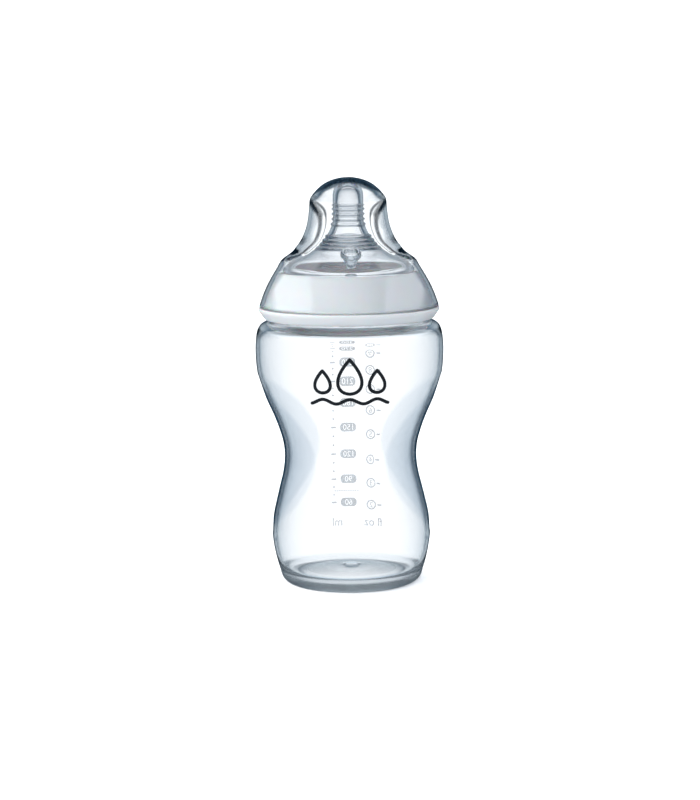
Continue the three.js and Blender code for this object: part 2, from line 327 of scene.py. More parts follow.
def makeBottle(spec):
    # an outline of radius and height turned once round the axis: the foot, the outer skin, the
    # neck, the inner skin and the raised floor, with both grips pressed in and the thread added
    path = filletedPath([
        *spec["foot"], *wallPath(spec["stations"], spec["outerHeights"]), *spec["shoulder"],
        *spec["neck"], *spec["innerShoulder"],
        *wallPath(spec["stations"], spec["innerHeights"], spec["wall"]), *spec["innerFloor"]])
    angle, radius, height = revolve(path, spec["columns"])
    radius, depth = pressHollows(angle, radius, height, spec, spec["grip"])
    onNeck = np.where(radius > spec["neckWall"], 1.0, 0.0)
    radius = radius + onNeck * threadRise(angle, height, spec["thread"])
    # painted shade: the grips get a darker painted tint by their depth, and the painted dark edge
    # band is wider there and narrower at the foot
    grip = smoothStep(depth, *spec["gripPaintedShade"])
    foot = spec["footShadeCut"] * (1 - smoothStep(height, *spec["footTo"]))
    points = np.dstack([cartesian(angle, radius, height), grip, grip + foot])
    return meshFrom("bottleShell", [gridFaces(points, poles=(True, True))])


bottleShell = makeBottle(bottle)
print("bottle body made:", len(bottleShell.data.polygons), "faces")


# Screw ring: its closed outline of [radius, height, fillet, step]
ring = {
    "columns": 300,
    "step": 0.9,
    "outline": [
        [29.1, 108.4, 0.3], [30.6, 108.4, 0.3], [30.7, 114.4, 0.6], [31.3, 115.0, 0.5],
        [32.4, 113.2, 1.0], [33.7, 110.4, 1.0], [32.7, 107.4, 0.3], [34.0, 107.4, 0.5],
        [35.5, 109.5, 2.0], [36.5, 110.9, 0.6], [36.5, 111.7, 0.3], [36.2, 112.0, 0.3],
        [34.2, 112.0, 0.3], [33.6, 114.6, 9], [32.5, 117.4, 9], [31.2, 120.2, 9],
        [29.8, 123.0, 9], [28.7, 125.2, 1.0], [28.1, 125.9, 0.6], [26.75, 125.9, 0.4],
        [26.75, 123.4, 0.3], [28.4, 123.4, 0.3], [28.4, 120.1, 0.3], [29.1, 119.6, 0.3, 0.28]],
    "boreWall": 29.3,                # the thread is on what lies inside this radius
    "thread": {"height": 109.0, "lead": 6.0, "turns": (0.2, 1.4), "fade": 0.06, "base": 1.3,
               "crest": 0.6, "rise": 1.35, "from": 108.7, "to": 119.5},
}


def makeRing(spec):
    # the closed outline turned once round the axis, with the thread standing into the bore
    path = filletedPath(spec["outline"], closed=True, step=spec["step"])
    angle, radius, height = revolve(path, spec["columns"])
    onBore = np.where(radius < spec["boreWall"], 1.0, 0.0)
    radius = radius - onBore * threadRise(angle, height, spec["thread"])
    return meshFrom("screwRing", [gridFaces(cartesian(angle, radius, height),
                                            closedPath=True)])


screwRing = makeRing(ring)
print("screw ring made:", len(screwRing.data.polygons), "faces")


# Teat: an inner and an outer outline of [radius, height, fillet, step], and the heights of
# the ribs. The vent's floors go down in steps of [share of the depth, from, to], where from
# and to are distances outside the mouth's edge
teat = {
    "columns": 300,
    "step": 0.9,
    "inner": [
        [0, 159.6], [2.4, 159.5, 9], [3.9, 158.3, 9], [4.4, 156.0, 9], [4.3, 150.0, 9],
        [4.4, 146.0, 9], [5.2, 143.0, 9], [6.6, 140.4, 9], [8.4, 138.0, 9],
        [10.6, 135.9, 9, 0.3], [14.0, 133.4, 9, 0.3], [17.5, 131.6, 9, 0.3], [20.6, 130.0, 9],
        [22.8, 128.5, 9], [24.0, 126.6, 9], [24.3, 123.5, 2], [24.3, 121.3, 1],
        [24.7, 120.5, 0.3]],
    "outer": [
        [28.0, 120.5, 0.5], [28.0, 123.1, 0.4], [26.1, 123.1, 0.4], [26.1, 126.1, 0.3],
        [26.5, 126.7, 0.5], [26.2, 128.0, 9], [25.2, 129.2, 9], [23.6, 130.3, 9],
        [21.2, 131.5, 9], [18.6, 132.8, 9, 0.3], [15.6, 134.25, 9, 0.3], [13.4, 135.3, 9, 0.25],
        [11.3, 137.0, 9, 0.25], [9.6, 138.9, 9, 0.25], [8.1, 141.3, 9, 0.25],
        [6.9, 143.8, 9, 0.25], [6.0, 146.3, 9, 0.25], [5.95, 152.0, 9, 0.25],
        [6.1, 155.0, 9, 0.4], [6.2, 157.3, 9, 0.4], [5.6, 159.4, 9, 0.4], [4.3, 160.8, 9, 0.4],
        [2.0, 161.2, 9], [0, 161.2]],
    "stemRibs": [145.1, 147.1, 149.1, 151.1, 153.0],
    "flareRibs": [135.9, 137.2, 138.6, 140.2],
    "ribWidth": 0.46,
    "ribGap": 0.22,
    "ribSpan": (134.6, 154.6),
    "stemRadius": 7.2,               # the ribs inside this radius are the stem's
    "stemRise": 0.68,
    "flareRise": 0.55,
    "flareLift": 0.35,
    "shadeLineBelow": 0.5,                # a painted dark line, painted shade, lies this far under each rib's crest
    "shadeLineWidth": 0.28,
    # round the vent the painted dark edge band is left off, out to a little past the boss
    "vent": {"x": 0.9, "y": -15.2, "z": 134.5, "lean": 0.49, "mouth": 2.7, "boss": 3.3,
             "rise": 0.55, "rimWidth": 0.45, "depth": 5.6, "snoutDepth": 5.9, "skin": 1.6,
             "along": 5.0, "across": 6.0, "level": 1.6, "ventShadeFree": 1.5,
             "pocket": [(0.72, -1.5, -0.5), (0.28, -0.5, 0.0)],
             "snout": [(0.72, -0.7, 0.4), (0.28, 0.2, 0.9)]},
}


def steppedFloor(away, mouth, steps):
    # from 1 in the middle down to 0 outside the mouth's edge, by smooth steps
    return sum(share * (1 - smoothStep(away, mouth + low, mouth + high))
               for share, low, high in steps)


def makeTeat(spec):
    # the two outlines turned once round the axis, with bell-shaped ribs that stand out from
    # the axis on the stem and up and out on the flare
    inner = filletedPath(spec["inner"], step=spec["step"])
    outer = filletedPath(spec["outer"], step=spec["step"])
    outer = finer(outer, spec["ribGap"], *spec["ribSpan"])
    skin = np.concatenate([np.zeros(len(inner)), np.ones(len(outer))])[:, None]
    angle, radius, height = revolve(np.concatenate([inner, outer]), spec["columns"])
    stemBell = sum(bell(height, z, spec["ribWidth"]) for z in spec["stemRibs"])
    flareBell = sum(bell(height, z, spec["ribWidth"]) for z in spec["flareRibs"])
    # painted shade: a dark line under each rib on the outer skin
    line = skin * sum(bell(height, z - spec["shadeLineBelow"], spec["shadeLineWidth"])
                      for z in (*spec["stemRibs"], *spec["flareRibs"]))
    stem = np.where(radius < spec["stemRadius"], 1.0, 0.0)
    radius = radius + skin * (stem * spec["stemRise"] * stemBell
                              + (1 - stem) * spec["flareRise"] * flareBell)
    height = height + skin * (1 - stem) * spec["flareLift"] * flareBell
    points = cartesian(angle, radius, height)
    # vent: near its own leaning axis the outer skin rises into a rim and drops into a pocket,
    # and the inner skin drops further, into a tapering snout. The skin there first comes level
    # with the mouth, so that the floors are flat
    vent = spec["vent"]
    axis = np.array([0, -math.sin(vent["lean"]), math.cos(vent["lean"])])
    offset = points - np.array([vent["x"], vent["y"], vent["z"]])
    along = offset @ axis
    away = np.linalg.norm(offset - along[..., None] * axis, axis=-1)
    near = np.where((np.abs(along) < vent["along"]) & (away < vent["across"]), 1.0, 0.0)
    rim = vent["rise"] * bell(away, vent["boss"], vent["rimWidth"])
    pocket = vent["depth"] * steppedFloor(away, vent["mouth"], vent["pocket"])
    snout = vent["snoutDepth"] * steppedFloor(away, vent["mouth"], vent["snout"])
    level = 1 - smoothStep(away, vent["mouth"], vent["mouth"] + vent["level"])
    move = np.where(skin > 0.5, rim - pocket - along * level,
                    -snout - (along + vent["skin"]) * level)
    points = points + (near * move)[..., None] * axis
    # painted shade: the painted dark edge band and the rib lines are left off round the vent
    edge = -near * (1 - smoothStep(away, vent["boss"], vent["boss"] + vent["ventShadeFree"]))
    return meshFrom("teatSkin", [gridFaces(np.dstack([points, line * (1 + edge), edge]),
                                           poles=(True, True))])


teatSkin = makeTeat(teat)
print("teat made:", len(teatSkin.data.polygons), "faces")


# Hood: stations and outlines as on the body, with a finger scoop pressed in on each side
hood = {
    "wall": 1.5,
    "columns": 600,
    "step": 0.7,
    "stations": [
        [112.3, 36.3], [117.0, 34.7], [121.5, 32.7], [126.0, 30.1], [129.2, 28.1],
        [132.4, 26.8], [136.0, 25.4], [140.0, 23.6], [144.0, 21.5], [148.0, 19.4],
        [152.0, 17.3], [154.5, 16.0], [156.4, 14.8], [158.2, 13.4], [160.0, 11.6], [161.6, 9.5],
        [162.8, 7.0], [163.6, 4.2]],
    "innerCap": [
        [0, 162.5], [2.5, 162.4, 9], [5.2, 161.8, 9], [7.8, 160.6, 9], [10.2, 158.9, 9],
        [12.2, 156.9, 9]],
    "heights": (
        113.5, 117, 120.5, 124, 127, 129.5, 132, 134.5, 137, 139.5, 142, 144.5, 147, 149.5, 152,
        154),
    "rim": [[34.75, 112.2, 0.6], [36.3, 112.2, 0.6]],
    "cap": [
        [14.8, 156.4, 9], [13.4, 158.2, 9], [11.6, 160.0, 9], [9.5, 161.6, 9], [7.0, 162.8, 9],
        [4.2, 163.6, 9], [2.0, 163.95, 9], [0, 164.0]],
    "scoop": {"floor": [
        [128.0, 30.2], [130.8, 27.5], [132.4, 25.3], [134.2, 22.8], [136.5, 20.9],
        [139.0, 19.1], [142.0, 17.7], [145.0, 16.7], [148.5, 16.05], [152.0, 15.65],
        [155.0, 15.5], [158.0, 15.6]],
              "arc": 24.5, "arcGrowth": 1.2, "arcHeight": 150.0, "blend": 0.8, "from": 128.5,
              "to": 157.5},
    # painted shade: a dark line painted along each scoop's crease
    "creaseShadeLine": {"at": 0.42, "width": 0.38, "power": 4, "wider": 0.45, "topFrom": 147.0,
               "topTo": 153.0},
    "rimShadeFreeTop": 113.3,                 # below this the painted dark edge band is left off
    "dome": (155.5, 161.0),          # heights between which the painted dark edge band spreads
    "scoopShadeCut": 0.6,
    "scoopShadeCutDepths": (0.2, 1.0),        # depths between which a scoop's painted dark edge band narrows
}


def makeHood(spec):
    # the inside and outside outlines turned once round the axis, with both scoops pressed in.
    # The crease's painted dark line, painted shade, is a flat-topped bell of the scoop's depth,
    # and wider where the scoop runs out at its top. The painted dark edge band spreads over the
    # dome, is left off the rim and narrows in the scoops
    path = filletedPath([
        *spec["innerCap"],
        *wallPath(spec["stations"], spec["heights"][::-1], spec["wall"], spec["step"]),
        *spec["rim"], *wallPath(spec["stations"], spec["heights"], 0.0, spec["step"]),
        *spec["cap"]])
    angle, radius, height = revolve(path, spec["columns"])
    radius, depth = pressHollows(angle, radius, height, spec, spec["scoop"])
    line = spec["creaseShadeLine"]
    width = line["width"] + line["wider"] * smoothStep(height, line["topFrom"], line["topTo"])
    creaseShadeLine = bell(depth, line["at"], width, line["power"])
    edge = (smoothStep(height, *spec["dome"]) - np.where(height < spec["rimShadeFreeTop"], 1.0, 0.0)
            - spec["scoopShadeCut"] * smoothStep(depth, *spec["scoopShadeCutDepths"]))
    points = np.dstack([cartesian(angle, radius, height), creaseShadeLine, edge])
    return meshFrom("hoodShell", [gridFaces(points, poles=(True, True))])


hoodShell = makeHood(hood)
print("hood made:", len(hoodShell.data.polygons), "faces")


# Volume scale on the back wall: millilitre boxes with the numbers left clear, ticks and dots
# beside them, and fluid ounces in small rings. Places are in millimetres, seen from behind, so
# u goes to the right there, which is towards -X
scale = {
    "ml": range(60, 301, 30), "mlAt": 1.0, "box": (6.9, 3.7), "corner": 1.6, "digits": 3.4,
    "tickAt": 7.4, "tick": (2.2, 0.62), "tickCorner": 0.2, "dotMl": range(60, 301, 10),
    "dot": 0.8, "dotSides": 10,
    "dotted": {"ml": 75, "from": -3.0, "to": 6.9, "count": 11, "size": 0.6},
    "ounces": range(2, 11), "ounce": 28.413, "ounceAt": -8.9, "ring": (1.6, 2.1),
    "ounceDigits": (3.3, 2.0),       # for one digit and for two
    "ounceTickAt": -12.6, "ounceTick": (2.0, 0.6),
    "units": [("ml", 6.0, 17.4, 4.8), ("fl oz", -9.8, 17.4, 4.8)],
    "bolder": 0.03,                  # of a letter's size
    "letterPoints": 4,               # on each curve of a letter
    "cuts": (1.1, 2.0),              # widest and tallest face, so that the print bends
    "weld": 1e-4,
}


def runningSum(x, y):
    # the area under a line of points, up to each of them
    return np.concatenate([[0], np.cumsum(np.diff(x) * (y[1:] + y[:-1]) / 2)])


def fillTable(spec):
    # what the bottle holds up to each height: the cross-section inside, half a turn times the
    # mean radius squared, added up over the height, less the floor's raised middle
    floor = np.array([corner[:2] for corner in (spec["fill"]["join"], *spec["innerFloor"])])[::-1]
    lowest = np.argmin(floor[:, 1])
    middle, edge = floor[:lowest + 1], floor[lowest:]
    z = np.linspace(edge[0, 1], spec["fill"]["top"], spec["fill"]["steps"])[:, None]
    plainRadius = np.where(z < edge[-1, 1], np.interp(z, edge[:, 1], edge[:, 0]),
                           smoothLine(spec["stations"])(z) - spec["wall"])
    angle = np.arange(spec["columns"])[None] * turn / spec["columns"]
    radius, _ = pressHollows(angle, plainRadius + 0 * angle, z + 0 * angle, spec, spec["grip"])
    area = 0.5 * turn * (radius ** 2).mean(axis=1)
    height = z[:, 0]
    raised = runningSum(middle[:, 0], turn * middle[:, 0] * (middle[:, 1] - height[0]))[-1]
    return height, (runningSum(height, area) - raised) / 1000    # cubic mm in a ml


def splineOf(curve, points):
    spline = curve.splines.new("POLY")
    spline.points.add(len(points) - 1)
    flat = np.column_stack([points, np.zeros(len(points)), np.ones(len(points))])
    spline.points.foreach_set("co", flat.ravel())
    spline.use_cyclic_u = True


def roundedBox(at, size, corner, steps=6):
    # four quarter circles, joined
    t = np.linspace(0, turn / 4, steps + 1)
    half = np.array(size) / 2 - corner
    arcs = [np.column_stack([np.cos(t + k * turn / 4), np.sin(t + k * turn / 4)]) * corner
            + half * sign for k, sign in enumerate(((1, 1), (-1, 1), (-1, -1), (1, -1)))]
    return np.concatenate(arcs) + at


def circle(at, radius, steps=28):
    t = np.arange(steps) * turn / steps
    return np.column_stack([np.cos(t), np.sin(t)]) * radius + at


def lettering(text, at, size, spec):
    # the outlines of a text, as points on its cubic curves, with its middle at a place
    data = bpy.data.curves.new("lettering", "FONT")
    data.body = text
    data.size = size
    data.align_x = "CENTER"
    data.offset = spec["bolder"] * size
    words = newObject("lettering", data)
    outline = words.to_curve(bpy.context.evaluated_depsgraph_get())
    lines = []
    for spline in outline.splines:
        knots = np.array([[*p.co, *p.handle_left, *p.handle_right] for p in spline.bezier_points])
        ahead = np.roll(knots, -1, axis=0)
        t = (np.arange(spec["letterPoints"]) / spec["letterPoints"])[:, None, None]
        bezier = ((1 - t) ** 3 * knots[:, 0:3] + 3 * t * (1 - t) ** 2 * knots[:, 6:9]
                  + 3 * t * t * (1 - t) * ahead[:, 3:6] + t ** 3 * ahead[:, 0:3])
        lines.append(bezier.transpose(1, 0, 2).reshape(-1, 3)[:, :2])
    words.to_curve_clear()
    bpy.data.objects.remove(words)
    bpy.data.curves.remove(data)
    reach = np.concatenate(lines)
    shift = np.array(at) - (reach.min(axis=0) + reach.max(axis=0)) / 2
    return [line + shift for line in lines]


ink = {"gap": 0.02, "thick": 0.05}


def onWall(side, u, height, layer):
    # places on the body's wall: the radius is the wall's and a little more by the layer, and the
    # angle is the side's plus u over the radius, so u runs to the right as seen from outside
    radius = smoothLine(bottle["stations"])(height) + ink["gap"] + ink["thick"] * layer
    return cartesian(side + u / radius, radius, height)


def printed(name, outlines, side, spec):
    # flat outlines made into a thin solid skin that lies on the body's wall. Where outlines
    # overlap, each cuts a hole in the other
    curve = bpy.data.curves.new(name, "CURVE")
    curve.dimensions = "2D"
    curve.fill_mode = "BOTH"
    for outline in outlines:
        splineOf(curve, outline)
    flat = newObject(name, curve)
    made = flat.evaluated_get(bpy.context.evaluated_depsgraph_get()).to_mesh()
    work = bmesh.new()
    work.from_mesh(made)
    bpy.data.objects.remove(flat)
    bpy.data.curves.remove(curve)
    bmesh.ops.remove_doubles(work, verts=work.verts, dist=spec["weld"])
    reach = np.array([v.co for v in work.verts])
    for axis, gap in enumerate(spec["cuts"]):
        normal = Vector([1.0 if k == axis else 0.0 for k in range(3)])
        for cut in np.arange(reach[:, axis].min() + gap / 2, reach[:, axis].max(), gap):
            bmesh.ops.bisect_plane(work, geom=[*work.verts, *work.edges, *work.faces],
                                   plane_co=normal * cut, plane_no=normal, dist=spec["weld"])
    bmesh.ops.triangulate(work, faces=work.faces)
    grown = bmesh.ops.extrude_face_region(work, geom=work.faces[:])
    lifted = [v for v in grown["geom"] if isinstance(v, bmesh.types.BMVert)]
    bmesh.ops.translate(work, verts=lifted, vec=(0, 0, 1))
    bmesh.ops.recalc_face_normals(work, faces=work.faces)
    mesh = bpy.data.meshes.new(name)
    work.to_mesh(mesh)
    work.free()
    place = np.empty(len(mesh.vertices) * 3)
    mesh.vertices.foreach_get("co", place)
    points = onWall(side, *place.reshape(-1, 3).T)
    mesh.vertices.foreach_set("co", (points * mm).ravel())
    mesh.update()
    return newObject(name, mesh)


def makeScale(spec, heights, held):
    # every mark lies at the height where the bottle holds what it says
    def levelOf(ml):
        return float(np.interp(ml, held, heights))

    outlines = []
    for ml in spec["ml"]:
        at = (spec["mlAt"], levelOf(ml))
        outlines.append(roundedBox(at, spec["box"], spec["corner"]))
        outlines += lettering(str(ml), at, spec["digits"], spec)
        outlines.append(roundedBox((spec["tickAt"], at[1]), spec["tick"], spec["tickCorner"], 2))
    for ml in spec["dotMl"]:
        if ml not in spec["ml"]:
            outlines.append(circle((spec["tickAt"], levelOf(ml)), spec["dot"] / 2,
                                   spec["dotSides"]))
    dotted = spec["dotted"]
    for u in np.linspace(dotted["from"], dotted["to"], dotted["count"]):
        outlines.append(circle((u, levelOf(dotted["ml"])), dotted["size"] / 2,
                               spec["dotSides"]))
    for ounces in spec["ounces"]:
        at = (spec["ounceAt"], levelOf(ounces * spec["ounce"]))
        outlines += [circle(at, radius) for radius in spec["ring"]]
        outlines += lettering(str(ounces), at, spec["ounceDigits"][len(str(ounces)) - 1], spec)
        outlines.append(roundedBox((spec["ounceTickAt"], at[1]), spec["ounceTick"],
                                   spec["tickCorner"], 2))
    for text, u, z, size in spec["units"]:
        outlines += lettering(text, (u, z), size, spec)
    return printed("scalePrint", outlines, turn / 4, spec)


fillHeights, fillMl = fillTable(bottle)
scalePrint = makeScale(scale, fillHeights, fillMl)
print("scale made:", len(scalePrint.data.polygons), "faces, 60 and 300 ml at",
      np.interp((60, 300), fillMl, fillHeights).round(1), "mm")


# Plain printed drawing on the front: three drops over a wave, each a flat band along its curve
motif = {
    "drops": [{"at": (0.0, 88.2), "size": (6.1, 13.6)}, {"at": (-10.8, 86.2), "size": (4.1, 8.8)},
              {"at": (10.8, 86.2), "size": (4.1, 8.8)}],
    "dropSteps": 120,
    "wave": {"from": -16.0, "to": 16.0, "height": 78.3, "rise": 0.9, "length": 10.7,
             "steps": 90, "taper": 0.8},
    "line": 1.35,
}


def bandPoints(line, halfWidth, closed=False):
    # a band of four corners round each point of a curve in u and height, laid on the wall
    along = (np.roll(line, -1, axis=0) - np.roll(line, 1, axis=0) if closed
             else np.gradient(line, axis=0))
    along /= np.linalg.norm(along, axis=1)[:, None]
    across = np.column_stack([along[:, 1], -along[:, 0]]) * np.reshape(halfWidth, (-1, 1))
    corners = np.stack([line - across, line + across, line + across, line - across], axis=1)
    layer = np.array([1.0, 1.0, 0.0, 0.0])
    return onWall(-turn / 4, corners[..., 0], corners[..., 1], layer)


def makeMotif(spec):
    # a drop is u = width sin(t) sin(t/2), height = size cos(t) / 2 round its middle, and the
    # wave is a cosine whose ends taper as quarter circles
    parts = []
    for drop in spec["drops"]:
        t = np.arange(spec["dropSteps"]) * turn / spec["dropSteps"]
        line = np.column_stack([drop["size"][0] * np.sin(t) * np.sin(t / 2),
                                drop["size"][1] * np.cos(t) / 2]) + drop["at"]
        points = bandPoints(line, np.full(len(t), spec["line"] / 2), closed=True)
        parts.append(gridFaces(points, closedPath=True))
    wave = spec["wave"]
    u = np.linspace(wave["from"], wave["to"], wave["steps"])
    line = np.column_stack([u, wave["height"] + wave["rise"] * np.cos(turn * u / wave["length"])])
    ends = np.minimum(u - wave["from"], wave["to"] - u) / wave["taper"]
    width = spec["line"] / 2 * np.sqrt(1 - np.clip(1 - ends, 0, 1) ** 2)
    parts.append(gridFaces(bandPoints(line, width), poles=(True, True)))
    return meshFrom("frontDrawing", parts, smooth=False)


frontDrawing = makeMotif(motif)
print("front drawing made:", len(frontDrawing.data.polygons), "faces")


def makeClear(name, spec):
    # clear plastic or silicone, with the optics of glass. The colour goes from the tint to the
    # edge's by a power of how far the wall turns from the eye: partly the long way light goes
    # along a wall seen edge on, partly painted shade for the dark light reflected and bent at the
    # edges. A faint waviness is one noise as coarse as the flow, in mm
    material, tree = newMaterial(name)
    facing = addNode(tree, "LayerWeight", {"Blend": 0.5}).outputs["Facing"]
    depth = addNode(tree, "Math", {"operation": "POWER", 1: spec["paintedEdgePower"]}, {0: facing})
    place = addNode(tree, "TexCoord").outputs["Object"]
    tint = addNode(tree, "Mix", {"data_type": "RGBA", 6: linear(spec["tint"]),
                                 7: linear(spec["edge"])}, {0: depth.outputs[0]})
    # painted shade: the outermost band of the edge is painted dark, wider or narrower by the
    # mesh's edge value
    paintedRimFrom, paintedRimTo, paintedRimWider = spec["paintedRimBand"]
    mark = addNode(tree, "Attribute", {"attribute_name": "mark"})
    edge = addNode(tree, "Attribute", {"attribute_name": "edge"})
    turned = addNode(tree, "Math", {"operation": "MULTIPLY_ADD", 1: paintedRimWider},
                     {0: edge.outputs["Fac"], 2: facing})
    rim = addNode(tree, "MapRange", {"From Min": paintedRimFrom, "From Max": paintedRimTo},
                  {"Value": turned.outputs[0]})
    tint = addNode(tree, "Mix", {"data_type": "RGBA", 7: linear(spec["rim"])},
                   {0: rim.outputs["Result"], 6: tint.outputs[2]})
    # painted shade in pressed places and painted dark lines, by the mesh's first corner value
    tint = addNode(tree, "Mix",
                   {"data_type": "RGBA", "blend_type": "MULTIPLY", 7: linear(spec["mark"])},
                   {0: mark.outputs["Fac"], 6: tint.outputs[2]})
    # the lowest part is textured in the mould, so it blurs what's seen through it
    height = addNode(tree, "SeparateXYZ", None, {"Vector": place}).outputs["Z"]
    frostFrom, frostTo, frost = spec["frost"]
    frosted = addNode(tree, "MapRange", {"From Min": frostFrom * mm, "From Max": frostTo * mm,
                                         "To Min": spec["roughness"], "To Max": frost},
                      {"Value": height})
    flow = addNode(tree, "TexNoise", {"Scale": 1 / (spec["flow"] * mm), "Detail": 2.0},
                   {"Vector": place})
    bump = addNode(tree, "Bump", {"Strength": spec["wave"], "Distance": spec["waveDepth"] * mm},
                   {"Height": flow.outputs["Fac"]})
    shader = addNode(tree, "BsdfPrincipled", {"IOR": spec["ior"], "Transmission Weight": 1.0},
                     {"Base Color": tint.outputs[2], "Normal": bump.outputs["Normal"],
                      "Roughness": frosted.outputs["Result"]})
    addNode(tree, "OutputMaterial", None, {"Surface": shader.outputs["BSDF"]})
    return material


# polypropylene, blow-moulded clear. The air side never touches a mould, so it's softly glossy and
# a little wavy; the cool grey-blue at the edges, the dark silhouette band and the grey in the
# grips are painted shade, while the foot is frosted by its mould
bottleMaterial = makeClear("polypropyleneClear", {
    "tint": "#fcfdfe", "edge": "#e0ebf3", "paintedEdgePower": 1.3, "mark": "#eef1f4",
    "rim": "#0c2438", "paintedRimBand": (0.76, 0.9, 0.08), "frost": (6.5, 4.0, 0.28),
    "roughness": 0.02, "ior": 1.49, "flow": 16.67, "wave": 0.03, "waveDepth": 0.2})
# styrene, injection-moulded in a polished mould: as bright as glass and nearly colourless, with
# strong painted dark edges and a painted dark line along each scoop's crease, both painted shade
hoodMaterial = makeClear("styreneClear", {
    "tint": "#fdfeff", "edge": "#dbe6ee", "paintedEdgePower": 2.0, "mark": "#0e1a24",
    "rim": "#12222f", "paintedRimBand": (0.74, 0.88, 0.34), "frost": (113.4, 112.8, 0.5),
    "roughness": 0.0, "ior": 1.57, "flow": 25.0, "wave": 0.02, "waveDepth": 0.2})
# silicone, moulded clear: softer and greyer than the plastics, with painted dark edges and painted
# dark lines under its ribs, both painted shade
teatMaterial = makeClear("siliconeClear", {
    "tint": "#fbfcfd", "edge": "#c9d5de", "paintedEdgePower": 2.0, "mark": "#6d8090",
    "rim": "#142636", "paintedRimBand": (0.66, 0.9, 0.4), "frost": (0.0, -1.0, 0.03),
    "roughness": 0.03, "ior": 1.41, "flow": 12.5, "wave": 0.04, "waveDepth": 0.2})


def makeMilky(name, spec):
    # a translucent plastic: light goes some millimetres in and comes back, under a soft gloss.
    # Its faint clouds are a noise as coarse as the cloud, in mm
    material, tree = newMaterial(name)
    place = addNode(tree, "TexCoord").outputs["Object"]
    cloud = addNode(tree, "TexNoise",
                    {"Scale": 1 / (spec["cloud"] * mm), "Detail": 3.0}, {"Vector": place})
    tint = addNode(tree, "Mix", {"data_type": "RGBA", 6: linear(spec["low"]),
                                 7: linear(spec["high"])}, {0: cloud.outputs["Fac"]})
    # painted shade: the thin skirt below the ledge is made greyer in its colour, for the shade
    # under the ledge and the light its thin wall lets away
    height = addNode(tree, "SeparateXYZ", None, {"Vector": place}).outputs["Z"]
    skirtFrom, skirtTo = spec["skirtTop"]
    skirt = addNode(tree, "MapRange",
                    {"From Min": skirtFrom * mm, "From Max": skirtTo * mm}, {"Value": height})
    tint = addNode(tree, "Mix",
                   {"data_type": "RGBA", "blend_type": "MULTIPLY", 7: linear(spec["skirt"])},
                   {0: skirt.outputs["Result"], 6: tint.outputs[2]})
    shader = addNode(tree, "BsdfPrincipled",
                     {"Roughness": spec["roughness"], "IOR": spec["ior"],
                      "Subsurface Weight": spec["subsurface"],
                      "Subsurface Scale": spec["goesIn"] * mm,
                      "Transmission Weight": spec["through"]}, {"Base Color": tint.outputs[2]})
    addNode(tree, "OutputMaterial", None, {"Surface": shader.outputs["BSDF"]})
    return material


# polypropylene, injection-moulded without a clearing agent: milky white, with a satin skin
ringMaterial = makeMilky("polypropyleneMilky", {
    "low": "#f8fafb", "high": "#ffffff", "skirt": "#bcc0c3", "skirtTop": (112.4, 111.8),
    "cloud": 11.11, "roughness": 0.32, "ior": 1.49, "subsurface": 0.3, "goesIn": 3.0,
    "through": 0.15})


def makeInk(name, spec):
    # ink whose cover varies from thin to full with a noise as coarse as the grain, in mm
    material, tree = newMaterial(name)
    place = addNode(tree, "TexCoord").outputs["Object"]
    cover = addNode(tree, "TexNoise",
                    {"Scale": 1 / (spec["grain"] * mm), "Detail": 2.0}, {"Vector": place})
    tint = addNode(tree, "Mix", {"data_type": "RGBA", 6: linear(spec["thin"]),
                                 7: linear(spec["full"])}, {0: cover.outputs["Fac"]})
    shader = addNode(tree, "BsdfPrincipled",
                     {"Roughness": spec["roughness"], "Alpha": spec["cover"]},
                     {"Base Color": tint.outputs[2]})
    addNode(tree, "OutputMaterial", None, {"Surface": shader.outputs["BSDF"]})
    return material


# screen-printed ink, matt: a thin grey for the scale, which lets the back wall's light through
scaleInk = makeInk("scaleInk", {
    "thin": "#b0bcc7", "full": "#98a6b3", "cover": 0.36, "grain": 1.111, "roughness": 0.55})
# and a dense navy for the drawing
navyInk = makeInk("navyInk", {
    "thin": "#0b1822", "full": "#060f17", "cover": 1.0, "grain": 1.111, "roughness": 0.55})

for piece, material, body, node, slot in (
        (bottleShell, bottleMaterial, "bottle", "bottle_body", "body_plastic"),
        (teatSkin, teatMaterial, "teat_body", "teat", "teat_silicone"),
        (screwRing, ringMaterial, "ring", "screw_ring", "ring_plastic"),
        (hoodShell, hoodMaterial, "lid", "hood", "hood_plastic"),
        (scalePrint, scaleInk, "bottle", None, None),
        (frontDrawing, navyInk, "bottle", None, None)):
    piece.data.materials.append(material)
    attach(piece, body)
    if node:
        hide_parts(node)
print("materials made")


# Stage: a wide pale floor and a world that is white behind the bottle, navy beside it for
# light bent or thrown back by the plastic, and soft all round for everything matt
studio = {
    "floor": {"half": 9.0, "colour": "#fbfbfb", "roughness": 0.9},
    "background": 1.15, "ahead": (0.0, 0.985, -0.17),
    "field": [(0.1, "#dbe4ea"), (0.42, "#bccad4"), (0.7, "#e2e9ee"), (0.9, "#ffffff")],
    "fieldTall": [(0.1, "#dfe7ed"), (0.27, "#ffffff"), (0.56, "#ffffff"), (0.76, "#3c5162")],
    "fieldStrength": 1.3,
    "inner": [(0.4, "#22384a"), (0.75, "#6c8090"), (0.93, "#c8d4dc")],
    "innerTall": [(0.2, "#dbe4eb"), (0.36, "#ffffff"), (0.9, "#ffffff")],
    "innerStrength": 1.0,
    "top": {"from": 0.6, "to": 0.8, "colour": "#f4f8fb", "strength": 0.8},
    "under": {"from": -0.17, "to": -0.4, "colour": "#dfe7ed", "strength": 1.0},
    "mirror": [(0.0, "#142736"), (1.0, "#2b4152")],
    "panel": {"low": 0.22, "across": 0.64, "soft": 0.0833, "colour": "#f4f8fb",
              "strength": 2.4},
    "soft": [(0.2, "#ffffff"), (0.9, "#e3eaf3")], "softLeft": 3.1, "softRight": 0.9,
}


